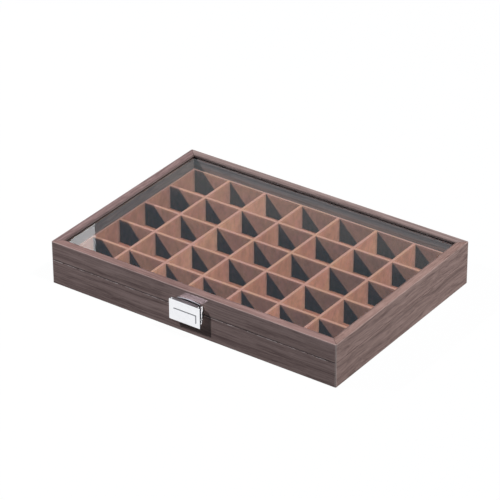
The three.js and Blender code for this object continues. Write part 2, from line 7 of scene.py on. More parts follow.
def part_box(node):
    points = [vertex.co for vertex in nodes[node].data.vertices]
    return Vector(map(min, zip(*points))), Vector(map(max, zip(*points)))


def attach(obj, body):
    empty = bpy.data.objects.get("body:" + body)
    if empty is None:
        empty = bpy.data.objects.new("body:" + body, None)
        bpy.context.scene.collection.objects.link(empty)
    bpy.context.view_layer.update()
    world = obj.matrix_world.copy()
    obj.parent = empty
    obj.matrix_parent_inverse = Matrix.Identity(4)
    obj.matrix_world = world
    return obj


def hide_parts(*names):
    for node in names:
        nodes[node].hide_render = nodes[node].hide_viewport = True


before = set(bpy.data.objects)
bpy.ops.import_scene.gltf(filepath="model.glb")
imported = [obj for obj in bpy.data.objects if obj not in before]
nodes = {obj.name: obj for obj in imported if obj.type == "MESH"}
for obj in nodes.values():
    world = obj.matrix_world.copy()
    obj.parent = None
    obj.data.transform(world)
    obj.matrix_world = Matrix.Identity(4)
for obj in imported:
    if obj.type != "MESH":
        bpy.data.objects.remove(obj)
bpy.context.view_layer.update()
print("box loaded:", len(nodes), "pieces")


# sizes that the finishes and boards go by, in millimetres
def nodeBox(name):
    return [[1000 * part for part in corner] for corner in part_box(name)]


def dividerLines(kind):
    # middle lines of the cross dividers or the long ones
    axis = 0 if kind == "cross" else 1
    found = [nodeBox(name) for name in sorted(nodes) if name.startswith(kind + "_divider")]
    return [(low[axis] + high[axis]) / 2 for low, high in found]


# from the middle to the outer faces, along the box and across it
boxHalf = (nodeBox("base_right_wall")[1][0], -nodeBox("base_front_wall")[0][1])
railWidth = boxHalf[0] - nodeBox("base_right_wall")[0][0]
lidFoot = nodeBox("lid_front_rail")[0][2]
rimHeight = nodeBox("lid_front_rail")[1][2]
boardTop = nodeBox("lining_back")[1][2]
crateLines = {"cross": dividerLines("cross"), "long": dividerLines("long")}
dividerHalf = (nodeBox("cross_divider_1")[1][0] - nodeBox("cross_divider_1")[0][0]) / 2


# where the photographer stood
cameraSpot = {
    "azimuth": 35.5012,  # degrees round from the front
    "elevation": 30.1865,
    "distance": 3.0043,  # from the middle of the underside
    "slideRight": -0.0103,
    "slideUp": 0.0342,
    "roll": -0.3741,
    "lens": 205.74,
    "sensor": 36,
}


def setCamera():
    spot = cameraSpot
    turn = math.radians(spot["azimuth"])
    lift = math.radians(spot["elevation"])
    roll = math.radians(spot["roll"])
    back = Vector((math.sin(turn) * math.cos(lift), -math.cos(turn) * math.cos(lift), math.sin(lift)))
    right = Vector((math.cos(turn), math.sin(turn), 0))
    up = back.cross(right)
    place = back * spot["distance"] + right * spot["slideRight"] + up * spot["slideUp"]
    rolledRight = right * math.cos(roll) + up * math.sin(roll)
    rolledUp = up * math.cos(roll) - right * math.sin(roll)
    lens = bpy.data.cameras.new("camera")
    lens.lens = spot["lens"]
    lens.sensor_width = spot["sensor"]
    camera = bpy.data.objects.new("camera", lens)
    bpy.context.scene.collection.objects.link(camera)
    turnTo = Matrix((rolledRight, rolledUp, back)).transposed().to_4x4()
    camera.matrix_world = Matrix.Translation(place) @ turnTo
    bpy.context.scene.camera = camera


setCamera()
print("camera set")


# short ways to wire a finish
def fillSocket(tree, socket, value):
    if isinstance(value, bpy.types.NodeSocket):
        tree.links.new(value, socket)
    else:
        socket.default_value = value


def addNode(tree, kind, inputs=None, **settings):
    made = tree.nodes.new("ShaderNode" + kind)
    for name, value in settings.items():
        setattr(made, name, value)
    for name, value in (inputs or {}).items():
        fillSocket(tree, made.inputs[name], value)
    return made


def emptyFinish(name):
    finish = bpy.data.materials.new(name)
    finish.use_nodes = True
    tree = finish.node_tree
    tree.nodes.clear()
    return finish, tree, tree.nodes.new("ShaderNodeOutputMaterial")


def newFinish(name):
    finish, tree, out = emptyFinish(name)
    skin = tree.nodes.new("ShaderNodeBsdfPrincipled")
    tree.links.new(skin.outputs["BSDF"], out.inputs["Surface"])
    return finish, tree, skin


def mixShaders(tree, out, share, first, second):
    both = addNode(tree, "MixShader", {"Fac": share, 1: first.outputs[0], 2: second.outputs[0]})
    tree.links.new(both.outputs[0], out.inputs["Surface"])


def addBump(tree, skin, height, strength, distance):
    bump = addNode(tree, "Bump", {"Height": height, "Strength": strength, "Distance": distance})
    tree.links.new(bump.outputs["Normal"], skin.inputs["Normal"])


def pieceCoordinates(tree, scale=(1, 1, 1)):
    # the piece's own coordinates in millimetres, times scale
    place = addNode(tree, "TexCoord")
    return addNode(tree, "Mapping", {
        "Vector": place.outputs["Object"],
        "Scale": [1000 * share for share in scale],
    }).outputs["Vector"]


def noiseAt(tree, vector, scale=1.0, detail=3.0, rough=0.55, twist=0.0):
    return addNode(tree, "TexNoise", {
        "Vector": vector, "Scale": scale, "Detail": detail, "Roughness": rough, "Distortion": twist,
    }).outputs["Fac"]


def pieceNoise(tree, scale, detail, rough, twist=0.0):
    return noiseAt(tree, pieceCoordinates(tree, scale), 1.0, detail, rough, twist)


def spread(tree, value, low, high, newLow=0.0, newHigh=1.0):
    return addNode(tree, "MapRange", {
        "Value": value, "From Min": low, "From Max": high, "To Min": newLow, "To Max": newHigh,
    }).outputs["Result"]


def maths(tree, operation, first, second=0.0):
    made = addNode(tree, "Math", {0: first, 1: second}, operation=operation)
    return made.outputs[0]


def times(tree, first, second):
    return maths(tree, "MULTIPLY", first, second)


def larger(tree, first, second):
    return maths(tree, "MAXIMUM", first, second)


def tinted(tree, amount, first, second, blend="MIX"):
    # of a colour mix's sockets, 0 is the amount and 6 and 7 are the colours, and output 2 is the colour
    made = addNode(tree, "Mix", data_type="RGBA", blend_type=blend)
    for socket, value in ((0, amount), (6, first), (7, second)):
        fillSocket(tree, made.inputs[socket], (*value, 1) if isinstance(value, tuple) else value)
    return made.outputs[2]


def toned(tree, colour, tone):
    return tinted(tree, 1.0, colour, tone, "MULTIPLY")


def between(tree, value, low, high, soft):
    # 1 from low to high, falling to 0 over soft on both sides
    rising = spread(tree, value, low - soft, low)
    return times(tree, rising, spread(tree, value, high, high + soft, 1, 0))


def axesOf(tree, vector):
    parts = addNode(tree, "SeparateXYZ", {"Vector": vector}).outputs
    return parts["X"], parts["Y"], parts["Z"]


def graded(tree, value, tones):
    # colour that changes with value, from one of the tones to the next
    low, high = min(tones), max(tones)
    brightest = max(max(tone) for tone in tones.values())
    ramp = addNode(tree, "ValToRGB", {"Fac": spread(tree, value, low, high)})
    stops = ramp.color_ramp.elements
    for at in sorted(tones):
        stop = stops[0] if at == low else stops[-1] if at == high else stops.new((at - low) / (high - low))
        stop.color = (*[part / brightest for part in tones[at]], 1)
    return toned(tree, ramp.outputs["Color"], (brightest,) * 3)


def sinceEnd(tree, value, end, pitch):
    # how far value lies past the nearest end before it, where ends repeat at every pitch
    share = maths(tree, "FRACT", maths(tree, "DIVIDE", maths(tree, "SUBTRACT", value, end), pitch))
    return times(tree, share, pitch)


def seenDirectly(tree):
    # 1 for what the camera sees, in mirrors and through glass too
    ray = addNode(tree, "LightPath").outputs
    seen = larger(tree, ray["Is Camera Ray"], ray["Is Glossy Ray"])
    return larger(tree, seen, ray["Is Transmission Ray"])


# floor, background and lamps
studio = {
    "floorSize": 16,
    "floorParts": 8,
    "floorColour": (0.12, 0.12, 0.124),
    "floorWhite": 1.19,
    "floorShare": 0.82,  # share of plain white seen in the floor, the rest keeps the shadow
    "daylight": (0.005, 0.033, 0.052),
    "lamps": {
        # kind, place or the way it shines from, brightness square on, width in metres or degrees, colour
        "keyLamp": ("POINT", (-1.43, -1.03, 1.48), 0.6, 0.03, (0.9, 1, 1.1)),
        "frontLamp": ("POINT", (-0.94, -1.3, 1.6), 0.57, 0.03, (0.92, 1, 1.09)),
        "sideLamp": ("SUN", (0.49, 0, 0.77), 0.91, 5, (0.97, 1, 1.03)),
        "rearLamp": ("POINT", (0.75, 0.62, 0.1), 0.16, 0.12, (1, 1, 1)),
    },
    # the front lamp lights these in the key lamp's stead
    "frontPieces": ("base_front_wall", "lid_front_rail"),
    "frontLinks": {"keyLamp": "EXCLUDE", "frontLamp": "INCLUDE"},
    # a bright screen that only the glass mirrors
    "screen": {
        "corner": (-0.801, 0.715), "along": (-0.777, -0.63), "width": 0.25, "low": 0.5, "high": 0.8,
        "radiance": 8.5, "colour": (1.37, 0.855, 0.69),
    },
    # what the latch's plating throws up onto the lid, a slanted patch above the keeper
    "gleam": {
        "on": "lid_front_rail", "middle": (0.0058, -0.124, 0.0439), "way": (1.58, 0.7, 1.0), "reach": 0.03,
        "length": 0.028, "height": 0.0072, "spread": 1.0, "radiance": 3.0, "colour": (0.62, 0.72, 0.92),
    },
}


def layFloor():
    bpy.ops.mesh.primitive_grid_add(
        x_subdivisions=studio["floorParts"], y_subdivisions=studio["floorParts"], size=studio["floorSize"])
    floor = bpy.context.object
    floor.name = "studio_floor"
    paper, tree, out = emptyFinish("studio_paper")
    plain = addNode(tree, "BsdfDiffuse", {"Color": (*studio["floorColour"], 1)})
    glow = addNode(tree, "Emission", {"Color": (1, 1, 1, 1), "Strength": studio["floorWhite"]})
    mixShaders(tree, out, times(tree, seenDirectly(tree), studio["floorShare"]), plain, glow)
    floor.data.materials.append(paper)
    return floor


def fillAir():
    world = bpy.data.worlds.new("studio_air")
    bpy.context.scene.world = world
    world.use_nodes = True
    tree = world.node_tree
    tree.nodes.clear()
    out = tree.nodes.new("ShaderNodeOutputWorld")
    air = addNode(tree, "Background", {"Color": (*studio["daylight"], 1), "Strength": 1.0})
    white = addNode(tree, "Background", {"Color": (1, 1, 1, 1), "Strength": 1.0})
    mixShaders(tree, out, seenDirectly(tree), air, white)


def lightOnly(stand, receivers, state, blockers=()):
    lit = bpy.data.collections.new(stand.name + "_lights")
    for piece in receivers:
        lit.objects.link(nodes[piece])
    for entry in lit.collection_objects:
        entry.light_linking.link_state = state
    stand.light_linking.receiver_collection = lit
    if blockers:
        stopping = bpy.data.collections.new(stand.name + "_stops")
        for piece in blockers:
            stopping.objects.link(piece)
        stand.light_linking.blocker_collection = stopping


def standLamps():
    for name, (kind, place, brightness, width, colour) in studio["lamps"].items():
        lamp = bpy.data.lights.new(name, kind)
        lamp.color = colour
        stand = bpy.data.objects.new(name, lamp)
        if kind == "SUN":
            lamp.energy = brightness * math.pi
            lamp.angle = math.radians(width)
            stand.rotation_euler = Vector(place).to_track_quat("Z", "Y").to_euler()
        else:
            lamp.energy = brightness * 4 * math.pi ** 2 * Vector(place).length_squared
            lamp.shadow_soft_size = width
            stand.location = place
        bpy.context.scene.collection.objects.link(stand)
        if name in studio["frontLinks"]:
            lightOnly(stand, studio["frontPieces"], studio["frontLinks"][name])


def areaLamp(name, place, turn, size, plan):
    lamp = bpy.data.lights.new(name, "AREA")
    lamp.shape = "RECTANGLE"
    lamp.size, lamp.size_y = size
    lamp.energy = plan["radiance"] * math.pi * size[0] * size[1]
    lamp.color = plan["colour"]
    lamp.spread = math.radians(plan.get("spread", 180))
    stand = bpy.data.objects.new(name, lamp)
    stand.location = place
    stand.rotation_euler = turn.to_euler()
    stand.visible_camera = False
    stand.visible_transmission = False
    bpy.context.scene.collection.objects.link(stand)
    return stand


def setScreen():
    plan = studio["screen"]
    middle = [corner + 0.5 * plan["width"] * part for corner, part in zip(plan["corner"], plan["along"])]
    facing = Vector((-plan["along"][1], plan["along"][0], 0))
    place = (*middle, (plan["low"] + plan["high"]) / 2)
    size = (plan["width"], plan["high"] - plan["low"])
    screen = areaLamp("screen", place, facing.to_track_quat("-Z", "Y"), size, plan)
    screen.visible_diffuse = False
    lightOnly(screen, ["lid_glass"], "INCLUDE")


def setGleam(floor):
    plan = studio["gleam"]
    way = Vector(plan["way"]).normalized()
    across = Vector((1, 0, 0)) - way * way.x  # its long side stays level where the beam meets the lid
    up = Vector((0, -way.z, way.y))
    upReach = (way.y ** 2 + way.z ** 2) / way.y / up.length  # height on the lid for a unit of lamp
    turn = Matrix((across.normalized(), up.normalized(), -way)).transposed()
    place = Vector(plan["middle"]) - way * plan["reach"]
    size = (plan["length"] * across.length, plan["height"] / upReach)
    gleam = areaLamp("gleam", place, turn, size, plan)
    gleam.visible_glossy = False
    lightOnly(gleam, [plan["on"]], "INCLUDE", [floor])


studioFloor = layFloor()
fillAir()
standLamps()
setScreen()
setGleam(studioFloor)
bpy.context.scene.view_settings.view_transform = "Standard"
print("studio set")


# walnut-grain wrap, where True stands for the boards along the box and False for those across it
walnut = {
    "light": (0.37, 0.25, 0.222),
    "middle": (0.27, 0.18, 0.158),
    "dark": (0.15, 0.095, 0.085),
    "figure": (0.40, 0.61),  # the grain is darkest below the first and lightest above the second
    # scale, detail, roughness and share of each layer of the grain
    "layers": {"fine": (1.9, 4, 0.7, 0.34), "lines": (0.62, 3, 0.6, 0.38), "bands": (0.15, 2, 0.5, 0.28)},
    "run": {True: (1 / 46, 1, 1), False: (1, 1 / 46, 1)},  # streaks run slower along the board than across it
    "sway": {True: 2.8, False: 5.0},  # how far the grain wanders, in millimetres
    "swayScale": {True: (0.012, 0.05, 0.05), False: (0.05, 0.016, 0.05)},
    "pore": (0.06, 0.034, 0.031),
    "poreRun": {True: (0.17, 2.6, 2.6), False: (2.6, 0.17, 2.6)},
    "poreLimits": (0.6, 0.74),
    "poreShare": 0.4,
    "rimTop": (0.8, 0.3),  # a rail's tint sets in between these depths under the rim
    # joint line under the lid, painted shade above and painted highlight below: its foot, head and softness
    # from the lid's foot
    # painted shade, used along the joint under the lid and at the rim's lip
    "paintedShade": (0.035, 0.024, 0.023),
    "paintedHighlight": (0.6, 0.47, 0.43),  # painted highlight on the edges and below the joint, in the colour of bare fibre
    "specks": ((0.15, 0.15, 0.3), 4, 0.7),
    "seamLines": (
        {"paint": "paintedShade", "band": (-0.2, 0.75, 0.25), "limits": (0.3, 0.5), "least": 0.8,
         "share": {True: 1.0, False: 0.45}},
        {"paint": "paintedHighlight", "band": (-1.0, -0.4, 0.2), "limits": (0.45, 0.58), "least": 0.0,
         "share": {True: 0.65, False: 0.0}},
    ),
    # depths under the outer faces of the box's ends, and of its front and back
    "outerSkin": ((1.1, 0.7), (1.1, 0.7)),
    "cornerSkin": ((1.8, 0.8), (1.9, 0.8)),
    "edgeSkin": ((1.1, 0.5), (1.1, 0.5)),
    "edgeTop": (1.0, 0.3),
    # strength of the painted highlight on the upright corners and on the rim's outer edge
    "cornerHighlight": 0.7,
    "edgeHighlight": 0.28,
    "highlightGrain": (0.3, 0.6, 0.6, 1.0),
    # painted shade on the lip's inner face, and over the rim's inner edge
    "lipSkin": ((9.9, 9.5), (9.9, 9.5)),
    "lipBand": (2.5, 0.45, 0.1),  # depths of its foot and head under the rim, and softness
    "lipShade": {True: 0.3, False: 0.15},
    "lipEdge": {True: 1.2, False: 1.9},  # how far it runs over the edge
    "lipEdgeSoft": 0.6,  # it is full up to this share of the way
    "lipEdgeTop": (0.5, 0.4),
    "lipEdgeShade": 0.42,
    "roughness": (0.3, 0.7, 0.6, 0.46),
    "shine": 0.07,
    "ridges": 0.6,
    "poreDepth": 0.8,
    "bump": (0.35, 0.00012),
}


def underFaces(tree, fars, depths, ends=(0.0, 1.0)):
    # one mask for the box's ends and one for its front and back, changing between two depths under them
    return [
        spread(tree, far, half - first, half - second, *ends)
        for far, half, (first, second) in zip(fars, boxHalf, depths)
    ]


def underRim(tree, z, depths):
    return spread(tree, z, rimHeight - depths[0], rimHeight - depths[1])


def walnutGrain(tree, alongX, tone):
    wander = addNode(tree, "TexNoise", {
        "Vector": pieceCoordinates(tree, walnut["swayScale"][alongX]), "Scale": 1.0, "Detail": 2.0,
    }).outputs["Color"]
    centred = addNode(tree, "VectorMath", {0: wander, 1: (0.5, 0.5, 0.5)}, operation="SUBTRACT").outputs[0]
    sway = {0: centred, "Scale": 2 * walnut["sway"][alongX]}
    pushed = addNode(tree, "VectorMath", sway, operation="SCALE").outputs[0]
    straight = pieceCoordinates(tree, walnut["run"][alongX])
    grainAt = addNode(tree, "VectorMath", {0: straight, 1: pushed}, operation="ADD").outputs[0]
    layers = {}
    figure = 0.0
    for layer, (scale, detail, rough, share) in walnut["layers"].items():
        layers[layer] = noiseAt(tree, grainAt, scale, detail, rough)
        figure = maths(tree, "ADD", figure, times(tree, layers[layer], share))
    ramp = addNode(tree, "ValToRGB", {"Fac": figure})
    stops = ramp.color_ramp.elements
    low, high = walnut["figure"]
    stops[0].position, stops[1].position = low, high
    stops[0].color = (*[tone * part for part in walnut["dark"]], 1)
    stops[1].color = (*[tone * part for part in walnut["light"]], 1)
    middle = stops.new(0.5 * (low + high))
    middle.color = (*[tone * part for part in walnut["middle"]], 1)
    pores = pieceNoise(tree, walnut["poreRun"][alongX], 2, 0.5)
    pores = spread(tree, pores, *walnut["poreLimits"], 0.0, walnut["poreShare"])
    return tinted(tree, pores, ramp.outputs["Color"], walnut["pore"]), layers, pores


# painted shade along the joint under the lid, and a painted highlight just below it, in patches on the outer
# faces
def seamLines(tree, colour, alongX, z, fars):
    specks = pieceNoise(tree, *walnut["specks"])
    outer = larger(tree, *underFaces(tree, fars, walnut["outerSkin"]))
    for line in walnut["seamLines"]:
        foot, head, soft = line["band"]
        share = line["share"][alongX]
        band = between(tree, z, lidFoot + foot, lidFoot + head, soft)
        patches = spread(tree, specks, *line["limits"], line["least"] * share, share)
        colour = tinted(tree, times(tree, times(tree, band, patches), outer), colour, walnut[line["paint"]])
    return colour


def highlitEdges(tree, colour, z, fars, lines):
    # painted highlight on the upright corners and the outer edge of the rim, broken up along the grain
    corner = times(tree, *underFaces(tree, fars, walnut["cornerSkin"]))
    outer = larger(tree, *underFaces(tree, fars, walnut["edgeSkin"]))
    edge = times(tree, underRim(tree, z, walnut["edgeTop"]), outer)
    highlit = larger(tree, times(tree, corner, walnut["cornerHighlight"]), times(tree, edge, walnut["edgeHighlight"]))
    patches = spread(tree, lines, *walnut["highlightGrain"])
    return tinted(tree, times(tree, highlit, patches), colour, walnut["paintedHighlight"])


def shadedLip(tree, colour, alongX, z, fars):
    # painted shade on the lip's inner face under the rim, and over the rim's inner edge
    foot, head, soft = walnut["lipBand"]
    inner = times(tree, *underFaces(tree, fars, walnut["lipSkin"], (1, 0)))
    face = times(tree, inner, between(tree, z, rimHeight - foot, rimHeight - head, soft))
    colour = tinted(tree, times(tree, face, walnut["lipShade"][alongX]), colour, walnut["paintedShade"])
    reach = walnut["lipEdge"][alongX]
    depths = ((railWidth - walnut["lipEdgeSoft"] * reach, railWidth - reach),) * 2
    edge = times(tree, *underFaces(tree, fars, depths, (1, 0)))
    edge = times(tree, edge, underRim(tree, z, walnut["lipEdgeTop"]))
    return tinted(tree, times(tree, edge, walnut["lipEdgeShade"]), colour, walnut["paintedShade"])


def walnutFinish(name, alongX, tone=1.0, rimTint=None, paintedBandLight=None):
    finish, tree, skin = newFinish(name)
    colour, layers, pores = walnutGrain(tree, alongX, tone)
    x, y, z = axesOf(tree, pieceCoordinates(tree))
    fars = (maths(tree, "ABSOLUTE", x), maths(tree, "ABSOLUTE", y))
    # painted light and shade in bands by height
    if paintedBandLight:
        colour = toned(tree, colour, graded(tree, z, paintedBandLight))
    if rimTint:
        colour = tinted(tree, underRim(tree, z, walnut["rimTop"]), colour, toned(tree, colour, rimTint))
    colour = seamLines(tree, colour, alongX, z, fars)
    colour = highlitEdges(tree, colour, z, fars, layers["lines"])
    colour = shadedLip(tree, colour, alongX, z, fars)
    tree.links.new(colour, skin.inputs["Base Color"])
    tree.links.new(spread(tree, layers["lines"], *walnut["roughness"]), skin.inputs["Roughness"])
    ridges = times(tree, layers["fine"], walnut["ridges"])
    height = maths(tree, "SUBTRACT", ridges, times(tree, pores, walnut["poreDepth"]))
    addBump(tree, skin, height, *walnut["bump"])
    skin.inputs["Specular IOR Level"].default_value = walnut["shine"]
    return finish


# tan velvet, short pile
velvet = {
    "base": (0.66, 0.262, 0.155),
    "brushed": (0.89, 0.372, 0.228),
    "blush": (1.0, 0.94, 1.06),  # pinker patches
    "dark": (0.2, 0.08, 0.05),  # between the tufts
    # scale, detail, roughness and twist of the nap, of its brush strokes, of the pinker patches and the tufts
    "nap": ((0.09, 0.09, 0.06), 3, 0.5, 0.4),
    "strokes": ((0.26, 0.26, 0.15), 3, 0.6, 0.5),
    "hue": ((0.06, 0.06, 0.06), 2, 0.5),
    "pile": ((3, 3, 2), 3, 0.7),
    "napShare": 0.5,
    "strokeShare": 0.5,
    "brushedLimits": (0.38, 0.62),
    "blushLimits": (0.4, 0.62),
    "foldHighlight": (0.64, 0.3, 0.193),  # painted highlight on the top edges, a paler colour of their own
    "foldHighlightPink": (0.63, 0.287, 0.22),
    "foldLimits": (0.42, 0.58),
    "foldBand": (-0.8, 0.2),  # from the top of the bare boards, in millimetres
    "darkPile": (0.3, 0.7, 0.12, 0.0),
    # painted shade on the walls near a cell's left end and near its far end, by the distance from them;
    # toward the cell's front the cross walls are painted lighter
    "shadeFromLeft": {0: (0.72, 0.72, 0.7), 2.5: (0.96, 0.96, 0.96), 4: (1, 1, 1)},
    "shadeFromFar": {
        0: (0.7, 0.76, 0.8), 2: (0.82, 0.9, 0.94), 4: (0.95, 1, 1.03),
        10: (1, 1, 1), 24: (1, 1, 1), 34: (1.12, 1.12, 1.12),
    },
    # tone of the long boards from left to right
    "alongBox": {
        -140: (1.14, 1.1, 1.08), -92: (1.2, 1.13, 1.1), -44: (1.12, 1.06, 1.05), 5: (1.02, 0.96, 0.96),
        52: (0.96, 0.91, 0.93), 100: (0.9, 0.9, 0.94), 150: (0.92, 0.9, 0.9),
    },
    "roughness": (0.3, 0.7, 0.98, 0.86),
    "sheen": 0.25,
    "sheenRoughness": 0.45,
    "sheenTint": (1.0, 0.72, 0.58),
    "shine": 0.15,
    "bounce": 0.012,  # the pile swallows most of what it throws into the next cell
    "ridges": 0.8,
    "bump": (0.3, 0.00018),
}


def cellShadeAndTone(tree, runs, x, y):
    # painted shade in the cells' corners, on long boards from the left end and on cross ones from the far end
    lines = crateLines["cross" if runs == "long" else "long"]
    pitch = lines[1] - lines[0]
    if runs == "cross":
        far = sinceEnd(tree, times(tree, y, -1), dividerHalf - lines[0], pitch)
        return graded(tree, far, velvet["shadeFromFar"])
    ends = graded(tree, sinceEnd(tree, x, dividerHalf + lines[0], pitch), velvet["shadeFromLeft"])
    return toned(tree, ends, graded(tree, x, velvet["alongBox"]))


def velvetFinish(name, tone=(1, 1, 1), runs="long", foldHighlightTone=(1, 1, 1)):
    finish, tree, skin = newFinish(name)
    nap = pieceNoise(tree, *velvet["nap"])
    strokes = pieceNoise(tree, *velvet["strokes"])
    hue = pieceNoise(tree, *velvet["hue"])
    pile = pieceNoise(tree, *velvet["pile"])
    brushed = maths(tree, "ADD", times(tree, nap, velvet["napShare"]),
                    times(tree, strokes, velvet["strokeShare"]))
    brushed = spread(tree, brushed, *velvet["brushedLimits"])
    colour = toned(tree, tinted(tree, brushed, velvet["base"], velvet["brushed"]), tone)
    pink = spread(tree, hue, *velvet["blushLimits"])
    colour = tinted(tree, pink, colour, toned(tree, colour, velvet["blush"]))
    x, y, height = axesOf(tree, pieceCoordinates(tree))
    if runs != "floor":
        colour = toned(tree, colour, cellShadeAndTone(tree, runs, x, y))
    # the top edges get a paler colour, a painted highlight
    foldHighlightColour = tinted(tree, spread(tree, hue, *velvet["foldLimits"]), velvet["foldHighlight"], velvet["foldHighlightPink"])
    start, full = velvet["foldBand"]
    onFold = spread(tree, height, boardTop + start, boardTop + full)
    colour = tinted(tree, onFold, colour, toned(tree, foldHighlightColour, foldHighlightTone))
    colour = tinted(tree, spread(tree, pile, *velvet["darkPile"]), colour, velvet["dark"])
    swallowed = toned(tree, colour, (velvet["bounce"],) * 3)
    colour = tinted(tree, addNode(tree, "LightPath").outputs["Is Diffuse Ray"], colour, swallowed)
    tree.links.new(colour, skin.inputs["Base Color"])
    tree.links.new(spread(tree, pile, *velvet["roughness"]), skin.inputs["Roughness"])
    skin.inputs["Sheen Weight"].default_value = velvet["sheen"]
    skin.inputs["Sheen Roughness"].default_value = velvet["sheenRoughness"]
    skin.inputs["Sheen Tint"].default_value = (*velvet["sheenTint"], 1)
    skin.inputs["Specular IOR Level"].default_value = velvet["shine"]
    ridges = maths(tree, "ADD", pile, times(tree, strokes, velvet["ridges"]))
    addBump(tree, skin, ridges, *velvet["bump"])
    return finish


# plated metals
platedMetals = {
    "latch_chrome": {"colour": (0.88, 0.885, 0.91), "roughness": 0.09, "scratch": 0.05},
    "hinge_steel": {"colour": (0.66, 0.64, 0.6), "roughness": 0.27, "scratch": 0.12},
}
plating = {
    "scratches": ((0.35, 5, 5), 3, 0.7),
    "smudges": ((0.22, 0.22, 0.22), 3, 0.55),
    "smudgeDark": (0.35, 0.7, 0.0, 0.25),
    "smudgeTone": 0.8,
    "smudgeLimits": (0.3, 0.7),
    "smudgeGloss": (0.7, 1.4),  # times the metal's own roughness
    "scratchLimits": (0.55, 0.75),
    "scratchDepth": 0.00005,
}
# painted reflections and painted shade on the latch, where it is drawn lighter or darker than its plating, in
# millimetres
latchLight = {
    "edge": 0.2,  # a mark sets in over this much
    "padRight": 14.0,
    "padTop": 30.3,
    "padHead": 36,
    "padFront": -133.0,
    "padLean": (0.3, 0.5),  # how far a face leans to count as the pad's rim
    # painted shade for the groove round the pad, also mixed into the flange's mottle
    "grooveShade": (0.15, 0.15, 0.16),
    "flangeReflectionLeft": (0.58, 0.57, 0.6),  # painted reflection on the top flange, darker to the right
    "flangeReflectionRight": (0.26, 0.255, 0.27),
    "flangeSpan": 19,
    "flangeTop": 39.4,
    "flangeLean": (0.9, 0.95),
    "flangeMottle": ((0.5, 0.9, 0.5), 3, 0.6),
    "mottleTone": (0.4, 0.6, 0.25, 0.0),
    "flangeRoughness": 0.34,
    # painted shade and painted highlight for the cheeks; the shade also lies under the keeper's edge
    "cheekShade": (0.05, 0.05, 0.055),
    "cheekHighlight": (1.0, 1.0, 1.0),
    "cheekSide": 17.0,
    "cheekLean": (0.8, 0.9),
    "cheekHighlightSpan": (-127.95, -126.6),  # painted highlight strip down each cheek, with painted shade before and behind it
    "cheekFlare": 1.4,  # the strip is this much wider at its head
    "cheekHead": (31, 34),
    "cheekRoughness": 0.85,
    "keeperFace": (-126, -125.7),
    "keeperTop": 41.0,
    "keeperArch": 1.6,
    "keeperHalf": 14,
    "keeperSide": (0.3, 0.1),
    "keeperSoft": 0.1,
    "keeperHighlight": 0.55,  # painted highlight along the arched top edge, less bright to the right
    "keeperShade": 1.9,  # and painted shade under it
    "highlightReach": 0.5,
    "highlightLeft": (0.58, 0.57, 0.6),
    "highlightRight": (0.4, 0.38, 0.4),
    "highlightRoughness": 0.8,
}


def rougher(tree, rough, mask, roughness):
    return larger(tree, rough, times(tree, mask, roughness))


def padShade(tree, colour, place, lean):
    # painted shade in the groove round the pad
    marks = latchLight
    x, y, z = place
    edge = marks["edge"]
    top = between(tree, z, marks["padTop"] + edge / 2, marks["padHead"], edge)
    top = times(tree, top, spread(tree, lean[2], *marks["padLean"]))
    right = spread(tree, x, marks["padRight"], marks["padRight"] + edge)
    right = times(tree, right, spread(tree, lean[0], *marks["padLean"]))
    inFront = spread(tree, y, marks["padFront"] + edge / 4, marks["padFront"])
    return tinted(tree, times(tree, larger(tree, top, right), inFront), colour, marks["grooveShade"])


def topFlange(tree, colour, rough, place, lean):
    # painted reflection on the top flange: mottled, darker to the right, with painted shade in the mottle
    marks = latchLight
    x, z = place[0], place[2]
    flange = times(tree, spread(tree, z, marks["flangeTop"], marks["flangeTop"] + marks["edge"]),
                   spread(tree, lean[2], *marks["flangeLean"]))
    mottle = spread(tree, pieceNoise(tree, *marks["flangeMottle"]), *marks["mottleTone"])
    toRight = spread(tree, x, -marks["flangeSpan"], marks["flangeSpan"])
    tone = tinted(tree, toRight, marks["flangeReflectionLeft"], marks["flangeReflectionRight"])
    colour = tinted(tree, flange, colour, tinted(tree, mottle, tone, marks["grooveShade"]))
    return colour, rougher(tree, rough, flange, marks["flangeRoughness"])


def latchCheeks(tree, colour, rough, place, lean, fromMiddle):
    # a painted highlight strip down each cheek, with painted shade before and behind it
    marks = latchLight
    y, z = place[1], place[2]
    edge = marks["edge"]
    cheek = times(tree, spread(tree, fromMiddle, marks["cheekSide"], marks["cheekSide"] + edge),
                  spread(tree, lean[0], *marks["cheekLean"]))
    front, back = marks["cheekHighlightSpan"]
    flare = spread(tree, z, *marks["cheekHead"], 0, marks["cheekFlare"])
    strip = times(tree, spread(tree, y, front - edge, front + edge / 2),
                  spread(tree, maths(tree, "SUBTRACT", y, flare), back, back + edge, 1, 0))
    colour = tinted(tree, cheek, colour, tinted(tree, strip, marks["cheekShade"], marks["cheekHighlight"]))
    return colour, rougher(tree, rough, cheek, marks["cheekRoughness"])


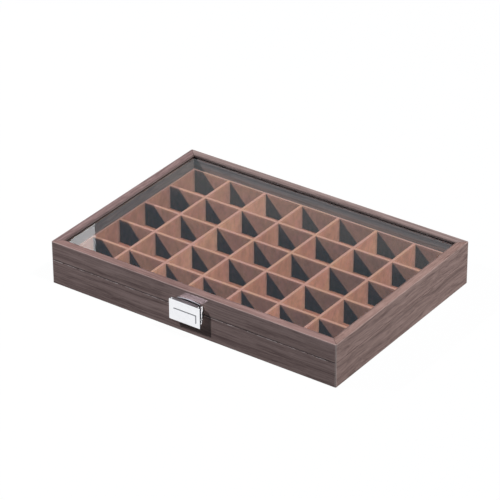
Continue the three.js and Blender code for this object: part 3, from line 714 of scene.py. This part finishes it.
def keeperEdge(tree, colour, rough, place, fromMiddle):
    # the arched top edge of the keeper, with a painted highlight along it and painted shade under it
    marks = latchLight
    x, y, z = place
    half, soft = marks["keeperHalf"], marks["keeperSoft"]
    arch = maths(tree, "DIVIDE", x, half)
    arch = maths(tree, "ADD", z, times(tree, times(tree, arch, arch), marks["keeperArch"]))
    outer, inner = marks["keeperSide"]
    onKeeper = times(tree, spread(tree, y, *marks["keeperFace"]),
                     spread(tree, fromMiddle, half + outer, half + inner))
    under = marks["keeperTop"] - marks["keeperHighlight"]
    shadeBand = times(tree, onKeeper, between(tree, arch, under - marks["keeperShade"], under, soft))
    colour = tinted(tree, shadeBand, colour, marks["cheekShade"])
    highlightBand = times(tree, onKeeper, between(tree, arch, under, marks["keeperTop"] + marks["highlightReach"], soft))
    highlit = tinted(tree, spread(tree, x, -half, half), marks["highlightLeft"], marks["highlightRight"])
    return tinted(tree, highlightBand, colour, highlit), rougher(tree, rough, highlightBand, marks["highlightRoughness"])


def paintLatchLight(tree, colour, rough):
    # painted shade and painted reflections on the latch's plating
    place = axesOf(tree, pieceCoordinates(tree))
    lean = axesOf(tree, addNode(tree, "TexCoord").outputs["Normal"])
    fromMiddle = maths(tree, "ABSOLUTE", place[0])
    colour = padShade(tree, colour, place, lean)
    colour, rough = topFlange(tree, colour, rough, place, lean)
    colour, rough = latchCheeks(tree, colour, rough, place, lean, fromMiddle)
    return keeperEdge(tree, colour, rough, place, fromMiddle)


def metalFinish(name):
    look = platedMetals[name]
    finish, tree, skin = newFinish(name)
    scratches = pieceNoise(tree, *plating["scratches"])
    smudges = pieceNoise(tree, *plating["smudges"])
    smudged = tuple(plating["smudgeTone"] * part for part in look["colour"])
    colour = tinted(tree, spread(tree, smudges, *plating["smudgeDark"]), look["colour"], smudged)
    gloss = [look["roughness"] * share for share in plating["smudgeGloss"]]
    rough = maths(tree, "ADD", spread(tree, smudges, *plating["smudgeLimits"], *gloss),
                  spread(tree, scratches, *plating["scratchLimits"], 0.0, look["scratch"]))
    if name == "latch_chrome":
        colour, rough = paintLatchLight(tree, colour, rough)
    tree.links.new(colour, skin.inputs["Base Color"])
    skin.inputs["Metallic"].default_value = 1.0
    tree.links.new(rough, skin.inputs["Roughness"])
    addBump(tree, skin, scratches, look["scratch"], plating["scratchDepth"])
    return finish


# clear glass in the lid
pane = {
    "tint": (0.94, 0.955, 0.95),
    "mirror": {-60: (0.5, 0.8, 1.0), 20: (0.6, 0.9, 1.08), 60: (1.12, 1.34, 1.43)},  # tint of the mirrored light from front to back, blue, and stronger toward the back: painted reflection
    "roughness": 0.02,
    "bending": 1.255,
}


def glassFinish(name):
    finish, tree, out = emptyFinish(name)
    clear = addNode(tree, "BsdfTransparent", {"Color": (*pane["tint"], 1)})
    mirror = graded(tree, axesOf(tree, pieceCoordinates(tree))[1], pane["mirror"])
    gloss = addNode(tree, "BsdfGlossy", {"Color": mirror, "Roughness": pane["roughness"]})
    fresnel = addNode(tree, "Fresnel", {"IOR": pane["bending"]})
    inside = tree.nodes.new("ShaderNodeNewGeometry").outputs["Backfacing"]
    outer = maths(tree, "SUBTRACT", 1.0, inside)  # each ray mirrors once, where it enters the pane
    mixShaders(tree, out, times(tree, fresnel.outputs[0], outer), clear, gloss)
    return finish


# raw board and felt
rawBoard = {
    "fibres": ((0.7, 0.7, 0.7), 6, 0.75),
    "limits": (0.3, 0.7),
    "dark": (0.2, 0.14, 0.08),
    "light": (0.34, 0.25, 0.15),
    "roughness": (0.9, 0.75),
    "bump": (0.4, 0.0002),
}
felt = {
    "fuzz": ((1.4, 1.4, 1.4), 6, 0.8),
    "limits": (0.3, 0.7),
    "dark": (0.008, 0.007, 0.007),
    "light": (0.03, 0.028, 0.028),
    "lint": ((0.06, 0.06, 0.06), 3, 0.6),
    "lintTone": (0.05, 0.047, 0.045),
    "lintShare": (0.55, 0.7, 0.0, 0.25),
    "roughness": (1.0, 0.85),
    "sheen": 0.3,
    "bump": (0.8, 0.0004),
}


def boardFinish(name):
    finish, tree, skin = newFinish(name)
    fibres = pieceNoise(tree, *rawBoard["fibres"])
    colour = tinted(tree, spread(tree, fibres, *rawBoard["limits"]), rawBoard["dark"], rawBoard["light"])
    tree.links.new(colour, skin.inputs["Base Color"])
    rough = spread(tree, fibres, *rawBoard["limits"], *rawBoard["roughness"])
    tree.links.new(rough, skin.inputs["Roughness"])
    addBump(tree, skin, fibres, *rawBoard["bump"])
    return finish


def feltFinish(name):
    finish, tree, skin = newFinish(name)
    fuzz = pieceNoise(tree, *felt["fuzz"])
    lint = pieceNoise(tree, *felt["lint"])
    colour = tinted(tree, spread(tree, fuzz, *felt["limits"]), felt["dark"], felt["light"])
    colour = tinted(tree, spread(tree, lint, *felt["lintShare"]), colour, felt["lintTone"])
    tree.links.new(colour, skin.inputs["Base Color"])
    rough = spread(tree, fuzz, *felt["limits"], *felt["roughness"])
    tree.links.new(rough, skin.inputs["Roughness"])
    skin.inputs["Sheen Weight"].default_value = felt["sheen"]
    addBump(tree, skin, fuzz, *felt["bump"])
    return finish


# tint of each rail's top
rimTints = {
    "lid_front_rail": (0.94, 0.82, 0.815),
    "lid_back_rail": (1.02, 1.04, 1.06),
    "lid_left_rail": (0.93, 0.87, 0.91),
    "lid_right_rail": (0.965, 0.86, 0.815),
}
# the right rail is drawn a tenth lighter, painted light for its brighter lit side
railPaintedLight = {"lid_right_rail": 1.1}
# tone of the velvet on each board that runs across the box
napTones = {
    "lining_left": (0.85, 0.82, 0.81),
    "lining_right": (1, 1, 1),
    "cross_divider_1": (0.98, 0.98, 0.95),
    "cross_divider_2": (1.3, 1.38, 1.34),
    "cross_divider_3": (1.11, 1.07, 1.03),
    "cross_divider_4": (1.08, 1, 0.95),
    "cross_divider_5": (1.27, 1.23, 1.15),
    "cross_divider_6": (1.12, 1.08, 1.05),
}
# tone of the painted highlight on the linings' top edges
liningFoldHighlights = {
    "lining_front": (0.83, 0.93, 1.0),
    "lining_back": (0.83, 0.93, 1.0),
    "lining_left": (0.77, 0.79, 0.84),
    "lining_right": (0.77, 0.79, 0.84),
}
# painted light and shade on the lid's inner back board, by height
innerBackPaintedLight = {
    32.5: (0.6, 0.55, 0.55),
    33.5: (1.05, 0.9, 0.85),
    35: (1.1, 0.84, 0.74),
    36.5: (0.97, 0.73, 0.65),
    39: (0.82, 0.77, 0.765),
    41: (0.67, 0.67, 0.73),
    43: (0.43, 0.41, 0.44),
    45.3: (0.66, 0.64, 0.66),
}
finishes = {
    "walnutLong": walnutFinish("walnut_long", True),
    "walnutShort": walnutFinish("walnut_short", False),
    "innerShort": walnutFinish("walnut_inner_short", False, 0.85),
    # the inner back board is drawn 1.85 times lighter than the wrap, painted light
    "lid_inner_back": walnutFinish("walnut_inner_back_painted_light", True, 1.85, paintedBandLight=innerBackPaintedLight),
    "velvet": velvetFinish("tan_velvet"),
    # a darker copy of the tan velvet for the cell floors, painted shade
    "shadedFloorVelvet": velvetFinish("tan_velvet_floor_shaded", (0.72, 0.66, 0.64), "floor"),
    "chrome": metalFinish("latch_chrome"),
    "steel": metalFinish("hinge_steel"),
    "glass": glassFinish("lid_glass_clear"),
    "board": boardFinish("fibreboard"),
    "felt": feltFinish("black_felt"),
}
for rail, tint in rimTints.items():
    alongX = "front" in rail or "back" in rail
    finishes[rail] = walnutFinish("walnut_" + rail, alongX, railPaintedLight.get(rail, 1), tint)
for board in [*napTones, *(lining for lining in liningFoldHighlights if lining not in napTones)]:
    runs = "cross" if board in napTones else "long"
    tone = napTones.get(board, (1, 1, 1))
    finishes[board] = velvetFinish("tan_velvet_" + board, tone, runs, liningFoldHighlights.get(board, (1, 1, 1)))
print("finishes made:", len(finishes))


def finishOf(name):
    alongX = "front" in name or "back" in name
    if name in finishes:
        return name
    if name == "lid_glass":
        return "glass"
    if name.startswith("lid_inner") and not alongX:
        return "innerShort"
    if name.endswith("_wall") or name.startswith("lid_inner"):
        return "walnutLong" if alongX else "walnutShort"
    if "divider" in name or "lining" in name:
        return "velvet"
    if name.startswith("hinge"):
        return "steel"
    if name == "base_bottom_panel":
        return "board"
    if name == "base_underside_felt":
        return "felt"
    return "chrome"


for name, node in nodes.items():
    look = finishes[finishOf(name)]
    if not node.material_slots:
        node.data.materials.append(look)
    for slot in node.material_slots:
        slot.material = look
print("pieces dressed")


# meshes of the velvet and felt pieces
softMesh = {
    "sharpAngle": 50,  # edges that fold more than this stay crisp, in degrees
    "near": 0.01,  # two places closer than this are one, in millimetres
}


def fillStations(fixed, step):
    # the fixed values in order, with even steps between them
    stations = []
    for low, high in zip(fixed, fixed[1:]):
        parts = max(1, math.ceil((high - low) / step))
        stations += [low + (high - low) * part / parts for part in range(parts)]
    return stations + [fixed[-1]]


def standPiece(name, shape, stands, finish):
    # a piece of the base, made from the shape, that stands for a solid
    mesh = bpy.data.meshes.new(name)
    shape.to_mesh(mesh)
    shape.free()
    mesh.shade_smooth()
    mesh.set_sharp_from_angle(angle=math.radians(softMesh["sharpAngle"]))
    piece = bpy.data.objects.new(name, mesh)
    bpy.context.scene.collection.objects.link(piece)
    mesh.materials.append(finishes[finish])
    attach(piece, "base")
    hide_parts(stands)
    return piece


# boards of the insert, wrapped in velvet and crossed as an egg crate, in millimetres
insert = {
    "step": 5.0,  # mesh size along a board
    "rise": 4.5,  # and up it
    "pile": 0.25,  # the pile stands this proud of each board
    "topPile": 0.5,
    "dividerFold": 0.6,  # rounding of the folded top edge
    "liningFold": 0.45,
    "foldSteps": 4,
    "slotPlay": 0.06,  # the pile closes the slots up to this
    "endReach": 0.08,  # ends press into the pile of the linings
    "footReach": 0.2,  # and feet into the floor lining
    "swell": 0.07,  # unevenness of the wrap
    "swellScale": (0.05, 0.08),  # along the board and up it
    "wave": 0.09,  # unevenness of the top edge
    "waveScale": 0.03,
    "waveLayer": 3,
    "pinch": 0.22,  # dip of the wrap beside a crossing
    "pinchWidth": 2.6,
    "seedStep": 10.0,  # each board draws its own unevenness
    "seedSpan": 97,
}
# from a square of a board's side to each neighbour, and the two corners that they share
squareSides = (
    ((0, -1), ((0, 0), (1, 0))),
    ((1, 0), ((1, 0), (1, 1))),
    ((0, 1), ((1, 1), (0, 1))),
    ((-1, 0), ((0, 1), (0, 0))),
)


def planBoard(name):
    low, high = nodeBox(name)
    along = 0 if high[0] - low[0] > high[1] - low[1] else 1
    across = 1 - along
    isDivider = "divider" in name
    half = (high[across] - low[across]) / 2
    middle = (high[across] + low[across]) / 2
    if isDivider:
        half += insert["pile"]
    else:  # a lining's back stays on its wall
        half += insert["pile"] / 2
        middle -= math.copysign(insert["pile"] / 2, middle)
    endReach = insert["endReach"] if isDivider or along == 1 else 0
    lines = []
    if isDivider:
        lines = crateLines["cross" if along == 0 else "long"]
    return {
        "isDivider": isDivider,
        "fromAbove": along == 0,  # long boards are slotted from above, cross ones from below
        "across": across,
        "middle": middle,
        "half": half,
        "start": low[along] - endReach,
        "end": high[along] + endReach,
        "foot": low[2] - insert["footReach"],
        "level": (low[2] + high[2]) / 2,  # the slots meet here
        "top": high[2] + insert["topPile"],
        "lines": lines,
        "halfSlot": half + insert["slotPlay"],
    }


def isSlot(board, run, rise):
    onLine = any(abs(run - line) < board["halfSlot"] for line in board["lines"])
    return onLine and (rise > board["level"]) == board["fromAbove"]


def crossedBoard(board):
    # the board's closed shape in squares, without those in its slots
    slotEnds = [line + side * board["halfSlot"] for line in board["lines"] for side in (-1, 1)]
    runs = fillStations([board["start"]] + slotEnds + [board["end"]], insert["step"])
    levels = [board["foot"], board["top"]]
    if board["isDivider"]:
        levels.insert(1, board["level"])
    rises = fillStations(levels, insert["rise"])
    squares = {
        (i, j)
        for i in range(len(runs) - 1) for j in range(len(rises) - 1)
        if not isSlot(board, (runs[i] + runs[i + 1]) / 2, (rises[j] + rises[j + 1]) / 2)
    }
    shape = bmesh.new()
    corners = {}

    def corner(i, j, side):
        key = (i, j, side)
        if key not in corners:
            corners[key] = shape.verts.new((runs[i], side * board["half"], rises[j]))
        return corners[key]

    for i, j in squares:
        for side in (-1, 1):
            loop = [
                corner(i, j, side), corner(i + 1, j, side),
                corner(i + 1, j + 1, side), corner(i, j + 1, side),
            ]
            shape.faces.new(loop if side < 0 else loop[::-1])
        for (di, dj), (first, second) in squareSides:
            if (i + di, j + dj) in squares:
                continue
            shape.faces.new([
                corner(i + first[0], j + first[1], 1), corner(i + second[0], j + second[1], 1),
                corner(i + second[0], j + second[1], -1), corner(i + first[0], j + first[1], -1),
            ])
    bmesh.ops.recalc_face_normals(shape, faces=shape.faces)
    return shape


def foldTop(shape, board):
    # rounds the long edges at the top
    near = softMesh["near"]
    folds = [
        edge for edge in shape.edges
        if all(abs(vertex.co.z - board["top"]) < near for vertex in edge.verts)
        and abs(edge.verts[0].co.y - edge.verts[1].co.y) < near
    ]
    foldHighlight = insert["dividerFold"] if board["isDivider"] else insert["liningFold"]
    bmesh.ops.bevel(shape, geom=folds, offset=foldHighlight, offset_type="OFFSET", segments=insert["foldSteps"],
                    profile=0.5, affect="EDGES", clamp_overlap=True)


def nearLine(run, lines):
    return min((abs(run - line) for line in lines), default=math.inf)


def swellBoard(shape, board, seed):
    # swells and dips the wrap a little, and puts the board in its place in metres
    alongScale, upScale = insert["swellScale"]
    for vertex in shape.verts:
        run, depth, rise = vertex.co
        thick = noise.noise(Vector((run * alongScale, rise * upScale, seed)))
        tall = noise.noise(Vector((run * insert["waveScale"], seed, insert["waveLayer"])))
        pinch = 0
        if board["fromAbove"]:
            pinch = insert["pinch"] * math.exp(-(nearLine(run, board["lines"]) / insert["pinchWidth"]) ** 2)
        lift = max(0, (rise - board["level"]) / (board["top"] - board["level"]))
        rise += lift * (insert["wave"] * (tall - 1) - pinch)
        depth *= 1 + insert["swell"] / board["half"] * (thick - 0.5)
        spot = [run, run, rise]
        spot[board["across"]] = board["middle"] + depth
        vertex.co = Vector(spot) / 1000
    if board["across"] == 0:  # such a board is turned a quarter, which mirrors it
        bmesh.ops.reverse_faces(shape, faces=shape.faces)


def wrapBoard(name):
    board = planBoard(name)
    shape = crossedBoard(board)
    foldTop(shape, board)
    swellBoard(shape, board, insert["seedStep"] * sum(map(ord, name)) % insert["seedSpan"])
    return standPiece(name + "_wrap", shape, name, finishOf(name))


wrapped = [wrapBoard(name) for name in sorted(nodes) if "divider" in name or name.startswith("lining")]
print("velvet boards wrapped:", len(wrapped))


# floor lining and underside felt, both glued to the bottom panel, in millimetres
sheets = {
    "floor_velvet": {
        "stands": "base_floor_lining", "finish": "shadedFloorVelvet", "slot": "velvet",
        "step": 4.0, "wave": 0.07, "press": 0.16,
    },
    "underside_felt_sheet": {
        "stands": "base_underside_felt", "finish": "felt", "slot": "underside_felt",
        "step": 6.0, "wave": 0.06, "press": 0.0,
    },
}
sheetFeel = {
    "waveScale": 0.03,
    "waveLayer": 5,
    "pressWidth": 2.5,  # the dividers' feet press the pile down this wide
    "underShare": 0.5,  # the underside is this much as uneven as the top
}


def sheetHeight(plan, x, y, face):
    # how far the sheet's surface stands out from its flat solid
    spot = Vector((x * sheetFeel["waveScale"], y * sheetFeel["waveScale"], face * sheetFeel["waveLayer"]))
    wave = plan["wave"] * (noise.noise(spot) - 1)
    near = min(nearLine(x, crateLines["cross"]), nearLine(y, crateLines["long"]))
    return wave - plan["press"] * math.exp(-(near / sheetFeel["pressWidth"]) ** 2)


def rimOf(rows, columns):
    # the grid's outer points in order, as row and column
    rim = [(0, i) for i in range(columns)]
    rim += [(j, columns - 1) for j in range(1, rows)]
    rim += [(rows - 1, i) for i in range(columns - 2, -1, -1)]
    return rim + [(j, 0) for j in range(rows - 2, 0, -1)]


def laySheet(name):
    plan = sheets[name]
    low, high = nodeBox(plan["stands"])
    columns = fillStations([low[0], high[0]], plan["step"])
    rows = fillStations([low[1], high[1]], plan["step"])
    shape = bmesh.new()

    def cornerAt(x, y, face):
        height = sheetHeight(plan, x, y, face)
        z = high[2] + height if face > 0 else low[2] - height * sheetFeel["underShare"]
        return shape.verts.new((x / 1000, y / 1000, z / 1000))

    grids = {face: [[cornerAt(x, y, face) for x in columns] for y in rows] for face in (-1, 1)}
    for face, grid in grids.items():
        for j in range(len(rows) - 1):
            for i in range(len(columns) - 1):
                loop = [grid[j][i], grid[j][i + 1], grid[j + 1][i + 1], grid[j + 1][i]]
                shape.faces.new(loop if face > 0 else loop[::-1])
    rim = rimOf(len(rows), len(columns))
    for (j, i), (nextJ, nextI) in zip(rim, rim[1:] + rim[:1]):
        shape.faces.new([grids[-1][j][i], grids[-1][nextJ][nextI], grids[1][nextJ][nextI], grids[1][j][i]])
    bmesh.ops.recalc_face_normals(shape, faces=shape.faces)
    piece = standPiece(name, shape, plan["stands"], plan["finish"])


for name in sheets:
    laySheet(name)
print("sheets laid:", len(sheets))
